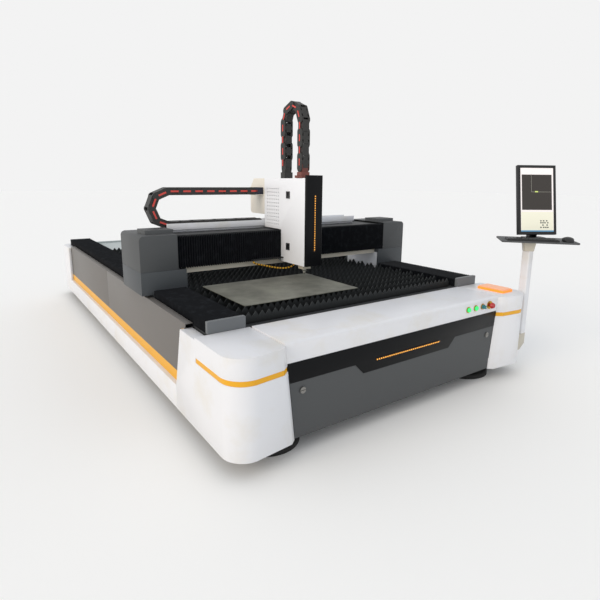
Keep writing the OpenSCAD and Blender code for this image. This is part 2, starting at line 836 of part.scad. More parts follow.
// Square tube of the console, with a bored plug in its top
module console_pole() color(white) from_front() translate(pole_at) {
    along_z([pole_foot, pole_top]) difference() {
        square_tube(pole_w / 2, pole_edge);
        square_tube(pole_w / 2 - cover_t, pole_edge - cover_t / 2);
    }
    along_z([pole_top - plug_t, pole_top]) difference() {
        square_tube(pole_w / 2 - 1, pole_edge);
        circle(spigot_r + run);
    }
}

// Section of the pole with round edges
module square_tube(half, r) round_pane([-half, -half], [half, half], r);

// Drawer front, with the lean of the opening
module drawer_front() color(dark_grey) from_front() difference() {
    along_y([drawer_y, drawer_y + drawer_t]) polygon([
        [-drawer_half(drawer_foot), drawer_foot], [drawer_half(drawer_foot), drawer_foot],
        [drawer_half(drawer_top), drawer_top], [-drawer_half(drawer_top), drawer_top]]);
    for (s = [-1, 1])
        rod_y(s * lock_x, [drawer_y - 1, drawer_y + drawer_t + 1], floor_gap + lock_z, lock_shank + run);
}

function drawer_half(z) = mouth_x(z) - drawer_gap;

// Black band along the top of the drawer front, with a tongue in its middle
module drawer_band() color(black) from_front() along_y([drawer_y - badge_t, drawer_y]) {
    low = drawer_top - band_drop;
    tip = low - tongue_drop;
    polygon([[-drawer_half(low), low], [-tongue_half - tongue_drop, low], [-tongue_half, tip],
        [tongue_half, tip], [tongue_half + tongue_drop, low], [drawer_half(low), low],
        [drawer_half(drawer_top), drawer_top], [-drawer_half(drawer_top), drawer_top]]);
}

// Row of light points in a bar, along X from the middle
module light_row(half) {
    cube([2 * half, glow_t, 3 * dot_r], center = true);
    for (i = [0:floor(2 * half / dot_pitch) - 1]) translate([-half + (i + 0.5) * dot_pitch, 0, 0])
        rotate([90, 0, 0]) cylinder(r = dot_r, h = glow_t, $fn = 16);
}

module drawer_light() color(orange) from_front()
    translate([0, drawer_y - badge_t - glow_t / 2, drawer_top - band_drop]) light_row(glow_half);

// Open scrap tray behind the drawer front
module drawer_tray() color(dark_grey) from_front() difference() {
    y = [drawer_y + drawer_t, drawer_y + drawer_t + tray_l];
    span([-tray_half, tray_half], y, [tray_foot, tray_foot + tray_h]);
    span([-tray_half + cover_t, tray_half - cover_t], y + [cover_t, -cover_t],
        [tray_foot + cover_t, tray_foot + tray_h + 1]);
}

// Quarter-turn lock: a round head with a slot, on a shank through the drawer front
module drawer_lock(x) color(steel) from_front() difference() {
    union() {
        rod_y(x, [drawer_y - lock_head, drawer_y - clear], floor_gap + lock_z, lock_r);
        rod_y(x, [drawer_y - lock_head, drawer_y + drawer_t + lock_head], floor_gap + lock_z, lock_shank);
    }
    span([x - lock_r, x + lock_r], [drawer_y - lock_head - 1, drawer_y - lock_head / 2],
        shift(floor_gap + lock_z, -2, 2));
}

module drawer_lock_left() drawer_lock(-lock_x);

module drawer_lock_right() drawer_lock(lock_x);

// Box beam of the gantry, with the rails of the head on its front
module gantry_beam() color(dark_grey) from_front() {
    along_x([-post_out, post_out]) difference() {
        pane([beam_y, beam_z], [beam_back, beam_over]);
        pane([beam_y + tube_t, beam_z + tube_t], [beam_back - tube_t, beam_over - tube_t]);
    }
    for (z = x_rail_z)
        span([-end_in, end_in], [beam_y - x_rail_h, beam_y], [z, z + x_rail_w]);
}

// Posts that carry the beam on guide blocks, each with its drive motor in a pocket
module gantry_posts() color(steel) from_front() both_sides() {
    difference() {
        span([post_in, post_out], [post_y[0], post_y[1]], [block_top, beam_z]);
        span([post_in - 1, post_out - wall_t], shift(axis_y, -pocket / 2, pocket / 2),
            [block_top - 1, axis_z + pocket / 2]);
        rod_x([post_out - wall_t - 1, post_out + 1], axis_y, axis_z, shaft_r + run);
    }
    for (y = [post_y[0], post_y[1] - block_l]) difference() {
        span([guide_x - block_w / 2, guide_x + block_w / 2], [y, y + block_l], [beam_top + 6, block_top]);
        along_y([y - 1, y + block_l + 1]) pane([guide_x - rail_w / 2 - clear, beam_top],
            [guide_x + rail_w / 2 + clear, beam_top + rail_h + clear]);
    }
    rod_x([post_in + 4, post_out - wall_t], axis_y, axis_z, motor_r);
}

// Toothed pinions on the motor shafts, in mesh with the racks
module drive_pinions() color(steel) from_front() both_sides() {
    along_x([rack_x[0] + 1, rack_x[1] - 1]) translate([axis_y, axis_z])
        polygon([for (k = [0:pinion_teeth - 1], p = pinion_tooth(360 * k / pinion_teeth - 90)) p]);
    rod_x([post_out - wall_t + clear, rack_x[0] + 2], axis_y, axis_z, shaft_r);
}

// One pinion tooth round its own direction
function pinion_tooth(a) = let (root = pinion_r - tooth_under, tip = pinion_r + tooth_over,
    wide = root_half / root * 180 / PI, slim = crest_half / tip * 180 / PI)
    [polar(root, a - wide), polar(tip, a - slim), polar(tip, a + slim), polar(root, a + wide)];

function polar(r, a) = [r * cos(a), r * sin(a)];

// Covers of the gantry's legs, stepped at the side panel and open at the foot
module leg_covers() color(dark_grey) from_front() both_sides() difference() {
    along_y([gantry_y, gantry_back]) leg_outline(0);
    along_y([gantry_y + cover_t, gantry_back - cover_t]) leg_outline(cover_t);
    span([post_in - clear, post_out + clear], [post_y[0] - clear, post_y[1] + clear],
        [end_foot - 2 * cover_t, end_foot + 1]);
}

// Section of a leg cover, drawn in by a wall
module leg_outline(wall)
    polygon([[leg_in + wall, leg_foot - wall], [leg_step - wall, leg_foot - wall],
        [leg_step - wall, leg_step_z + wall], [leg_out - wall, leg_step_z + wall],
        [leg_out - wall, end_foot - wall], [leg_in + wall, end_foot - wall]]);

// Upper end covers, round on their outer edge, each with a raised lid
module end_covers() color(dark_grey) from_front() both_sides() {
    difference() {
        along_y([gantry_y, gantry_back]) end_outline(0);
        along_y([gantry_y + cover_t, gantry_back - cover_t]) end_outline(cover_t);
    }
    span([end_in, lid_out], [gantry_y + 70, tray_front - 10], [end_top, end_top + lid_h]);
}

// Section of an end cover, open to the beam and drawn in by a wall
module end_outline(wall) {
    edge = gantry_half - end_r;
    pane([end_in - wall, end_foot - wall], [edge, end_top - wall]);
    pane([edge - 1, end_foot - wall], [gantry_half - wall, end_top - end_r]);
    translate([edge, end_top - end_r]) circle(end_r - wall);
}

// White plates on the inner sides of the legs
module leg_plates() color(white) from_front() both_sides()
    span([leg_in - cover_t, leg_in], [gantry_y + 1, gantry_back - 32], [leg_foot, end_foot - 27]);

// Pale channel under the beam
module beam_strip() color(beige) from_front() along_x([-leg_in + cover_t + 1, leg_in - cover_t - 1]) {
    pane([strip_y, end_foot - 35], [strip_y + cover_t, beam_z]);
    pane([strip_y, beam_z - cover_t], [beam_back, beam_z]);
}

// White trough on the beam that the cross chain lies in
module chain_tray() color(white) from_front() along_x(tray_x) {
    pane([tray_front, tray_z], [tray_back, tray_z + tray_t]);
    for (y = [tray_front, tray_back - tray_t]) pane([y, tray_z], [y + tray_t, tray_z + tray_wall]);
    for (y = [tray_front + 20, beam_back - 20 - tray_t])
        pane([y, beam_over], [y + tray_t, tray_z + tray_t]);
}

// Folded covers over the rails on the beam, on both sides of the head
module beam_bellows(x) {
    n = 2 * round((x[1] - x[0]) / fold_pitch);
    y = x_cover_y;
    z = x_cover_z;
    skin([for (i = [0:n]) let (q = x[0] + (x[1] - x[0]) * i / n, d = fold_d * (i % 2))
        [[q, y[1], z[0] + d], [q, y[0] + d, z[0] + d], [q, y[0] + d, z[1] - d], [q, y[1], z[1] - d]]]);
}

module cross_bellows() color(black) from_front() {
    beam_bellows([-end_in, head_l]);
    beam_bellows([head_r, end_in]);
}

// Link plate with round ends between two pivots along X
module link_plate(pitch, h) {
    translate([0, -h / 2]) square([pitch, h]);
    for (x = [0, pitch]) translate([x, 0]) circle(h / 2, $fn = 32);
}

// Chain link from one pivot to the next: two side plates with covers on the outside and the inside
// of the bend and a web between. Wide and narrow links follow each other, so that their ends lap.
module chain_link(pitch, h, w, wide) {
    out = w / 2 - (wide ? 0 : plate_t + clear);
    core = w / 2 - 2 * plate_t - clear + (wide ? -clear : 1);
    for (s = [-1, 1]) translate([0, s > 0 ? out : -out + plate_t, 0]) rotate([90, 0, 0])
        linear_extrude(plate_t) link_plate(pitch, h);
    for (z = [(bar_t - h) / 2, 0, (h - bar_t) / 2]) translate([pitch / 2, 0, z]) {
        cube([pitch - h - 2, 2 * (out - plate_t) + 2, bar_t], center = true);
        cube([pitch - 2 - 2 * max(0, z + bar_t / 2) * tan(90 / bend_links), 2 * core, bar_t], center = true);
    }
}

// Pivots of a chain in its plane: a straight run, a half turn to the other side, a straight run.
// The turn's middle is at the origin, and the first run comes in along +X at the top.
function chain_pivots(r, pitch, first, last) = concat(
    [for (i = [first:-1:1]) [i * pitch, r]],
    [for (i = [0:bend_links]) polar(r, 90 + 180 * i / bend_links)],
    [for (i = [1:last]) [i * pitch, -r]]);

// Links along a row of pivots
module chain(pivots, pitch, h, w)
    for (i = [0:len(pivots) - 2]) let (a = pivots[i], b = pivots[i + 1])
        translate([a[0], 0, a[1]]) rotate([0, -atan2(b[1] - a[1], b[0] - a[0]), 0])
            chain_link(pitch, h, w, i % 2 == 0);

module cross_chain() color(black) from_front() translate([x_bend, chain_y, x_low_z + x_chain_r])
    chain(chain_pivots(x_chain_r, x_pitch, x_upper, x_lower), x_pitch, x_link_h, x_link_w);

// Chain that loops over the head, with a foot block under its fixed end
module head_chain() color(black) from_front() {
    translate([head_x, z_chain_y, z_chain_foot + z_run * z_pitch])
        rotate([0, 0, -90]) rotate([0, 90, 0])
            chain(chain_pivots(z_chain_r, z_pitch, z_run, z_run), z_pitch, z_link_h, z_link_w);
    span(shift(head_x, -z_link_w / 2, z_link_w / 2),
        shift(z_chain_y + z_chain_r, -z_link_h / 2, z_link_h / 2),
        [head_top, z_chain_foot - z_link_h / 2]);
}

// Carriage on the beam: plate, guide blocks, column of the head's slide and the hose arm
module carriage() color(steel) from_front() {
    span([head_l, head_r], plate_y, [head_foot + 3, upper_foot - clear]);
    span(shift(head_x, -36, 36), [column_y, head_back], [head_foot + 33, head_top - 33]);
    for (z = x_rail_z, x = [head_l + 6, head_r - 6 - x_block_l]) difference() {
        span([x, x + x_block_l], [plate_y[1], beam_y - 8], [z - 8, z + x_rail_w + 8]);
        span([x - 1, x + x_block_l + 1], [beam_y - x_rail_h - clear, beam_y],
            [z - clear, z + x_rail_w + clear]);
    }
    span([hose_end[0] - 12, head_l], shift(hose_end[1], -12, 12), shift(hose_end[2], 0, 8));
    span(shift(hose_start[0], -12, 12), [hose_start[1] - 12, column_y + 8], shift(hose_start[2], 0, 20));
}

// White cover of the head: a tall box in front of the beam and a shorter one above it
module head_cover() color(white) from_front() difference() {
    union() {
        along_x([head_l, head_r]) head_outline(0);
        along_x([head_l, head_l + cover_t]) chain_wing();
        span([head_l - shelf_l, head_l + 1], shift(chain_y, -x_link_w / 2, x_link_w / 2),
            shift(shelf_z, -cover_t, 0));
    }
    along_x([head_l + cover_t, head_r - cover_t]) head_outline(cover_t);
    span([head_l + 30, head_r - 30], shift(nozzle_y, -42, 82), [head_top - 2 * cover_t, head_top + 1]);
    for (i = [0:6], k = [0:10]) rod_x([head_l - 1, head_l + cover_t + 1],
        head_back + 38 + i * vent_pitch, upper_foot + 34 + k * vent_pitch, vent_r);
}

// Wing of the cover that holds the end of the cross chain
module chain_wing() {
    back = upper_back + wing_l;
    polygon([[upper_back - 1, wing_foot], [back - wing_r, wing_foot], [back, wing_foot + wing_r],
        [back, shelf_z + x_link_h], [back - wing_l / 4, head_top], [upper_back - 1, head_top]]);
    translate([back - wing_r, wing_foot + wing_r]) circle(wing_r);
}

// Side view of the head's cover, drawn in by a wall, open at its foot, its front and the plate
module head_outline(wall) {
    pane([head_front_y - wall, head_foot - wall], [head_back + (wall > 0 ? wall : 0), head_top - wall]);
    pane([head_back - 1, upper_foot + wall], [upper_back - wall, head_top - wall]);
}

// Black front cover of the head
module head_face() color(black) from_front() difference() {
    span([head_l, head_r], [head_front_y - face_t, head_front_y], [head_foot, head_top + face_t]);
    for (x = [head_l, head_r]) translate([x, head_front_y - face_t, head_foot - 1])
        rotate([0, 0, 45]) translate([-face_t / 3, -face_t / 3, 0])
            cube([face_t * 2 / 3, face_t * 2 / 3, head_h + 2 * face_t]);
}

// Upright row of lights in the front cover
module head_light() color(orange) from_front()
    translate([head_x, head_front_y - face_t - glow_t / 2, (glow_z[0] + glow_z[1]) / 2])
        rotate([0, 90, 0]) light_row((glow_z[1] - glow_z[0]) / 2);

// Black snap latches of the cover's side door
module cover_latches() color(black) from_front() for (z = [head_foot + 119, head_top - 116])
    translate([head_l, head_back - 95, z]) difference() {
        translate([-6, -21, -25]) cube([6, 42, 50]);
        translate([-7, -12, -5]) cube([5, 24, 22]);
    }

// Hose that hangs below the head
module gas_hose() color("goldenrod") from_front() tube(hose_route, hose_r, 10);

// Round tube along a row of points
module tube(path, r, sides) {
    n = len(path) - 1;
    skin([for (i = [0:n]) let (t = unit(path[min(i + 1, n)] - path[max(i - 1, 0)]),
        a = unit(cross(t, [0, 1, 0])), b = cross(a, t))
        [for (k = [0:sides - 1]) path[i] + r * (cos(360 * k / sides) * a + sin(360 * k / sides) * b)]]);
}

function unit(v) = v / norm(v);

// Cutting head: a round body on its slide, with an arm up to the chain
module cutting_head() color(beige) from_front() {
    top = head_top + face_t;
    translate([nozzle_x, nozzle_y, nozzle_z + 63]) cylinder(r = 32, h = 320);
    span(shift(nozzle_x, -34, 34), shift(nozzle_y, -30, 30), shift(nozzle_z, 43, 64));
    span(shift(nozzle_x, -40, 40), [nozzle_y, column_y - clear], shift(nozzle_z, 150, 440));
    span(shift(head_x, -16, 16), shift(nozzle_y, 40, 70), [nozzle_z + 430, top]);
    span(shift(head_x, -30, 30), shift(nozzle_y, -20, 70), [head_top + 3, top]);
    span(shift(head_x, -z_link_w / 2, z_link_w / 2), shift(chain_front, -z_link_h / 2, z_link_h / 2),
        [top, z_chain_foot - z_link_h / 2]);
}

// Nozzle with its ceramic ring
module nozzle() color("silver") from_front() translate([nozzle_x, nozzle_y, nozzle_z]) difference() {
    union() {
        cylinder(r1 = 3, r2 = 11, h = 16);
        translate([0, 0, 16]) cylinder(r = 14, h = 8);
        translate([0, 0, 24]) cylinder(r1 = 14, r2 = 21, h = 12);
        translate([0, 0, 36]) cylinder(r = 21, h = 7);
    }
    translate([0, 0, -1]) cylinder(r = 1, h = 20);
}

// Round push button in its collar
module push_button(x) from_front() {
    rod_y(x, [front_inset - cap_l, front_inset - ring_t - 0.5], button_z, button_r);
    rod_y(x, [front_inset - ring_t - 1, front_inset + shank_l], button_z, shank_r);
}

module start_button() color("limegreen") push_button(button_x[0]);

module feed_button() color("limegreen") push_button(button_x[1]);

// Key switch with its bow
module key_switch() color("lightslategray") {
    push_button(button_x[2]);
    from_front() span(shift(button_x[2], -2, 2), [front_inset - cap_l - 16, front_inset - cap_l + 1],
        shift(button_z, -11, 11));
}

// Mushroom stop button
module stop_button() color("red") from_front() {
    translate([button_x[3], front_inset - 20, button_z]) rotate([90, 0, 0])
        cylinder(r1 = stop_r, r2 = stop_r - 5, h = 14);
    rod_y(button_x[3], [front_inset - 21, front_inset + shank_l], button_z, shank_r);
}

// Draws its children at the pole's top, in the console's own directions
module at_console() from_front() translate([pole_at[0], pole_at[1], 0])
    rotate([0, 0, desk_turn]) children();

// Flared neck that turns on the pole, on a round spigot
module console_neck() color(beige) at_console() translate([0, 0, pole_top]) {
    skin([for (p = [[clear, 1], [neck_h, neck_flare]]) neck_ring(p[0], p[1] * neck_w / 2, pole_edge)]);
    translate([0, 0, -spigot_h]) cylinder(r = spigot_r, h = spigot_h + 1);
}

// Square with cut corners at a height
function neck_ring(z, h, e) = [[-h, e - h, z], [-h, h - e, z], [e - h, h, z], [h - e, h, z],
    [h, h - e, z], [h, e - h, z], [h - e, -h, z], [e - h, -h, z]];

// Desk of the console: a flat plate with round corners
module console_desk() color(dark_grey) at_console()
    along_z([desk_z, desk_z + desk_t]) round_pane(desk_from, desk_from + desk_size, 18);

// Keyboard with its rows of keys
module keyboard() color(black) at_console() translate([key_at[0], key_at[1], desk_z + desk_t]) {
    along_z([0, 12]) round_pane([0, 0], key_size, 8);
    for (i = [0:13], k = [0:4])
        translate([6 + i * (key_size[0] - 12) / 14, 6 + k * (key_size[1] - 12) / 5, 11])
            cube([(key_size[0] - 12) / 14 - 3, (key_size[1] - 12) / 5 - 3, 4]);
}

// Mouse: a low dome
module mouse() color(black) at_console() translate([mouse_at[0], mouse_at[1], desk_z + desk_t])
    intersection() {
        translate([0, 0, -30]) sphere(r = 64, $fn = 40);
        along_z([0, 40]) round_pane([-31, -54], [31, 54], 30);
    }

// Stand behind the screen, with two ears for the tilting pin
module screen_stand() color(black) at_stand() {
    foot = desk_z + desk_t;
    along_z([foot, foot + stand_t])
        round_pane([-stand_half, stand_foot[0]], [stand_half, stand_foot[1]], 15);
    for (x = [-ear_x - ear_t, ear_x]) difference() {
        union() {
            span([x, x + ear_t], [-ear_r, stand_y], [foot + stand_t, pivot_z]);
            span([x, x + ear_t], [0, stand_y], [pivot_z - 1, pivot_z + ear_r]);
            rod_x([x, x + ear_t], 0, pivot_z, ear_r);
        }
        rod_x([x - 1, x + ear_t + 1], 0, pivot_z, pin_r + run);
    }
    span([-ear_x - ear_t, ear_x + ear_t], [stand_y, stand_foot[1]], [foot + stand_t, pivot_z + ear_r]);
}

// Draws its children at the stand's place on the desk, turned with the screen
module at_stand() at_console() translate([screen_at[0], screen_at[1], 0])
    rotate([0, 0, screen_turn]) children();

// Draws its children at the tilting pin, leaning with the screen
module at_screen() at_stand() translate([0, 0, pivot_z]) rotate([-screen_lean, 0, 0]) children();

// Housing of the upright screen, with the hub of its tilting pin
module screen_shell() color(black) at_screen() {
    half = screen_size[0] / 2;
    difference() {
        span([-half, half], [screen_face, -screen_back], screen_z);
        span([bezel - half, half - bezel], shift(screen_face, -1, panel_t), screen_z + [bezel, -bezel]);
    }
    rod_x([-ear_x + clear, ear_x - clear], 0, 0, ear_r);
    rod_x([-ear_x - ear_t, ear_x + ear_t], 0, 0, pin_r);
    span([-ear_x + clear, ear_x - clear], [-screen_back - 1, 0], [-ear_r, ear_r]);
}

// Display in the housing
module screen_panel() color("whitesmoke") at_screen() {
    edge = bezel + clear;
    span([edge - screen_size[0] / 2, screen_size[0] / 2 - edge], shift(screen_face, 1, panel_t),
        screen_z + [edge, -edge]);
}

side_beams();
cross_frame();
floor_pads();
skirts();
side_bands();
side_panels();
corners_front();
corners_rear();
corner_strips();
front_cover();
rear_panel();
slat_combs();
table_bars();
slats();
work_sheet();
scrap_guides();
rails_and_racks();
bellows_caps();
bellows_front();
bellows_rear();
button_rings();
signal_lamp();
console_foot();
console_pole();
drawer_front();
drawer_band();
drawer_light();
drawer_tray();
drawer_lock_left();
drawer_lock_right();
gantry_beam();
gantry_posts();
drive_pinions();
leg_covers();
end_covers();
leg_plates();
beam_strip();
chain_tray();
cross_bellows();
cross_chain();
carriage();
head_cover();
head_face();
head_light();
cover_latches();
gas_hose();
cutting_head();
nozzle();
head_chain();
start_button();
feed_button();
key_switch();
stop_button();
console_neck();
console_desk();
keyboard();
mouse();
screen_stand();
screen_shell();
screen_panel();
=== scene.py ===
# %% [markdown]
# # A sheet metal laser cutting machine
# The machine's solids come from the part's own model, each at its true place. This lesson dresses them: it
# rounds the edges of the sheet metal covers, paints every piece with a finish made from shader nodes, adds
# what is too fine for the solids, and sets up the camera, the light and the floor.

import json
import math

import bpy
from mathutils import Matrix, Vector


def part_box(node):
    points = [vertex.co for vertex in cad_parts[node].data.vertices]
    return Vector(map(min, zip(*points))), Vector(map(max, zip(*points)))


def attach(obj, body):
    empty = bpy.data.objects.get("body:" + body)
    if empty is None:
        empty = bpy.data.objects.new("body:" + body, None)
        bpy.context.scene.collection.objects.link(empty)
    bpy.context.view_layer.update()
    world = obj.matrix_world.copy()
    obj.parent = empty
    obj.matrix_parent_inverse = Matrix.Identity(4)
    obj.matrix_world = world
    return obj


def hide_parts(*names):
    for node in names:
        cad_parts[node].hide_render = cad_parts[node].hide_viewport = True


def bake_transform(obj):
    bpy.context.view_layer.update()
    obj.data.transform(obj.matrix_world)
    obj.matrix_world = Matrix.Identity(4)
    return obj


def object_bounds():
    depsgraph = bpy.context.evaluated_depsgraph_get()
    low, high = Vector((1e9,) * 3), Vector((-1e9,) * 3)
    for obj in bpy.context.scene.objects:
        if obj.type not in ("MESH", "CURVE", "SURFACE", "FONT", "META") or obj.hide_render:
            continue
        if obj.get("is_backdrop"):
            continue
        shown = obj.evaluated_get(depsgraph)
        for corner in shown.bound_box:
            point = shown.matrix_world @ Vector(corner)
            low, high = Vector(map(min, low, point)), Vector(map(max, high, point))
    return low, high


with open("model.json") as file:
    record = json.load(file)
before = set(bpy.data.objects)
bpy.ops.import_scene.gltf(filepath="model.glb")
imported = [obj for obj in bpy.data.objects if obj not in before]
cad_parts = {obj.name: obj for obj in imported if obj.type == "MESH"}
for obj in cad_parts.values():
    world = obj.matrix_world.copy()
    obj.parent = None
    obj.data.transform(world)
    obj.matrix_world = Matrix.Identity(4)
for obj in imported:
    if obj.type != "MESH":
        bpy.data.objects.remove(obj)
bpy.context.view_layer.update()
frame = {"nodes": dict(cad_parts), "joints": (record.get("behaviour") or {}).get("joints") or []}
nodes = frame["nodes"]
MM = 0.001

# %% [markdown]
# ## Camera
# The photograph was taken from the machine's front left, a little above the gantry. The camera's place and
# turn were worked out from the straight edges of the bed. A rotation matrix is built from the three
# directions that the camera sees as right, up and back, because that is exact and easy to check.

# %% Place the camera
EYE = Vector((-1.976, -3.882, 1.340))
YAW = math.radians(34.993)
PITCH = math.radians(11.236)
ROLL = math.radians(-0.527)
LENS_MM = 27.75
FRAME_SHIFT = -0.044

ahead = Vector((math.sin(YAW) * math.cos(PITCH), math.cos(YAW) * math.cos(PITCH), -math.sin(PITCH)))
level = Vector((math.cos(YAW), -math.sin(YAW), 0.0))
below = ahead.cross(level)
right = level * math.cos(ROLL) + below * math.sin(ROLL)
down = below * math.cos(ROLL) - level * math.sin(ROLL)
lens = bpy.data.cameras.new("photo_camera")
lens.sensor_width = 36.0
lens.lens = LENS_MM
lens.shift_y = FRAME_SHIFT
lens.clip_end = 200.0
camera = bpy.data.objects.new("photo_camera", lens)
camera.matrix_world = Matrix.Translation(EYE) @ Matrix((right, -down, -ahead)).transposed().to_4x4()
bpy.context.scene.collection.objects.link(camera)
bpy.context.scene.camera = camera
print("camera at", [round(v, 3) for v in EYE])

# %% [markdown]
# ## Shader helpers
# Colours are written as sRGB hex values, as a paint chart gives them, and Blender's shaders want linear
# light, so one function turns one into the other. A second small function adds a node, sets it and links it.
# Every finish below is made with these two.

# %% Colour and node helpers
def linear(hex_colour):
    """An sRGB hex colour as linear red, green, blue and alpha."""
    parts = [int(hex_colour[i:i + 2], 16) / 255 for i in (1, 3, 5)]
    return tuple(c / 12.92 if c <= 0.04045 else ((c + 0.055) / 1.055) ** 2.4 for c in parts) + (1.0,)


def add_node(tree, kind, links=(), sockets=(), **settings):
    """Adds a node, sets its fields and input sockets, and links its inputs to other nodes' outputs."""
    made = tree.nodes.new(kind)
    for name, value in settings.items():
        setattr(made, name, value)
    for key, value in sockets:
        made.inputs[key].default_value = value
    for key, source in links:
        tree.links.new(source, made.inputs[key])
    return made


def new_finish(name, colour, roughness, metallic=0.0, shine=0.5):
    """A material with a Principled shader: its colour, roughness and metalness are the same all over."""
    made = bpy.data.materials.new(name)
    made.use_nodes = True
    shader = made.node_tree.nodes["Principled BSDF"]
    shader.inputs["Base Color"].default_value = linear(colour)
    shader.inputs["Roughness"].default_value = roughness
    shader.inputs["Metallic"].default_value = metallic
    shader.inputs["Specular IOR Level"].default_value = shine
    return made, made.node_tree, shader


def add_wear(tree, shader, colours, patch_mm, span):
    """Mixes a second colour into a finish, in soft patches of a real size."""
    place = add_node(tree, "ShaderNodeTexCoord")
    patches = add_node(tree, "ShaderNodeTexNoise", [("Vector", place.outputs["Object"])],
                       [("Scale", 1000 / patch_mm), ("Detail", 4.0), ("Roughness", 0.6)])
    share = add_node(tree, "ShaderNodeMapRange", [("Value", patches.outputs["Fac"])],
                     [("From Min", span[0]), ("From Max", span[1])])
    tint = add_node(tree, "ShaderNodeMix", [("Factor", share.outputs["Result"])], data_type="RGBA")
    tint.inputs["A"].default_value = linear(colours[0])
    tint.inputs["B"].default_value = linear(colours[1])
    tree.links.new(tint.outputs["Result"], shader.inputs["Base Color"])


def select_only(*pieces):
    """Deselects all, then selects these pieces and makes the first one active."""
    bpy.ops.object.select_all(action="DESELECT")
    for piece in pieces:
        piece.select_set(True)
    bpy.context.view_layer.objects.active = pieces[0]


print("helpers ready")

# %% [markdown]
# ## Gas hose
# A thin braided hose hangs below the head, from a fitting on the slide's column round to an arm on the
# cover's left. A curve with a round bevel gives the tube, and each vertex then keeps how far along the hose
# it lies, so that the yellow and black braid can follow the hose wherever it bends.

# %% Lay the hose
HOSE_D = 0.012
BED_HALF = 2.220
HOSE_ROUTE = [(-60, 1140, 782), (-60, 1140, 762), (-63, 1142, 744), (-74, 1150, 727), (-97, 1161, 715),
              (-130, 1171, 710), (-172, 1181, 713), (-220, 1189, 722), (-270, 1196, 735), (-318, 1200, 748),
              (-352, 1202, 757), (-372, 1202, 766), (-378, 1202, 775), (-378, 1202, 784)]
route = [Vector((x * MM, y * MM - BED_HALF, z * MM)) for x, y, z in HOSE_ROUTE]
hose_curve = bpy.data.curves.new("gas_hose_line", "CURVE")
hose_curve.dimensions = "3D"
hose_curve.bevel_depth = HOSE_D / 2
hose_curve.bevel_resolution = 4
hose_curve.resolution_u = 6
spline = hose_curve.splines.new("BEZIER")
spline.bezier_points.add(len(route) - 1)
for point, place in zip(spline.bezier_points, route):
    point.co = place
    point.handle_left_type = "AUTO"
    point.handle_right_type = "AUTO"
hose = bpy.data.objects.new("hose", hose_curve)
bpy.context.scene.collection.objects.link(hose)
select_only(hose)
bpy.ops.object.convert(target="MESH")
hose = bpy.context.object
marks = [0.0]
for a, b in zip(route, route[1:]):
    marks.append(marks[-1] + (b - a).length)


def along_hose(place):
    """How far along the route the nearest point to this place lies."""
    best = (1e9, 0.0)
    for a, b, start in zip(route, route[1:], marks):
        step = b - a
        share = min(1.0, max(0.0, (place - a).dot(step) / step.length_squared))
        best = min(best, ((place - a - step * share).length, start + step.length * share))
    return best[1]


ring_of = hose.data.attributes.new("along", "FLOAT", "POINT")
for i, vertex in enumerate(hose.data.vertices):
    ring_of.data[i].value = along_hose(vertex.co)
bpy.ops.object.shade_smooth()
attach(hose, "carriage")
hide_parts("gas_hose")
print("hose of", round(marks[-1], 3), "m")

# %% [markdown]
# The braid is rubber with yellow and black yarn. The real yarns cross every few millimetres, which is too
# fine to show from here, so the bands are drawn 22 mm long, as they look in the photograph.

# %% Finish of the hose
BRAID_MM = 22.0
YELLOW_SHARE = 0.62
braid, tree, shader = new_finish("braided_rubber", "#E0A81C", 0.6)
along = add_node(tree, "ShaderNodeAttribute", attribute_name="along")
turns = add_node(tree, "ShaderNodeMath", [(0, along.outputs["Fac"])], [(1, 1000 / BRAID_MM)],
                 operation="MULTIPLY")
part = add_node(tree, "ShaderNodeMath", [(0, turns.outputs[0])], operation="FRACT")
dark = add_node(tree, "ShaderNodeMath", [(0, part.outputs[0])], [(1, YELLOW_SHARE)],
                operation="GREATER_THAN")
yarn = add_node(tree, "ShaderNodeMix", [("Factor", dark.outputs[0])], data_type="RGBA")
yarn.inputs["A"].default_value = linear("#E0A81C")
yarn.inputs["B"].default_value = linear("#1C1A16")
tree.links.new(yarn.outputs["Result"], shader.inputs["Base Color"])
hose.data.materials.append(braid)
print("finish:", braid.name)

# %% [markdown]
# ## Painted finishes
# Sheet metal covers like these are powder coated: the powder melts into a smooth skin with a satin gloss and
# a faint orange peel. The peel's cells are about 3 mm across, too fine to show, so a cell of 9 mm carries a
# very small bump. Paint isn't a metal, so its metalness is 0 and its IOR stays near 1.5. The white covers are
# a little yellowed where they are handled, in soft patches about 240 mm across.

# %% Powder coats
PEEL_MM = 9.0
STAIN_MM = 240.0


def powder_coat(name, colour, roughness, peel, stain=None):
    """A powder coat of one colour, with the faint unevenness of its skin and stains from handling."""
    made, tree, shader = new_finish(name, colour, roughness)
    if stain:
        add_wear(tree, shader, (colour, stain), STAIN_MM, (0.5, 0.8))
    place = add_node(tree, "ShaderNodeTexCoord")
    cells = add_node(tree, "ShaderNodeTexNoise", [("Vector", place.outputs["Object"])],
                     [("Scale", 1000 / PEEL_MM), ("Detail", 2.0)])
    skin = add_node(tree, "ShaderNodeBump", [("Height", cells.outputs["Fac"])],
                    [("Strength", peel), ("Distance", 0.0004)])
    tree.links.new(skin.outputs["Normal"], shader.inputs["Normal"])
    return made


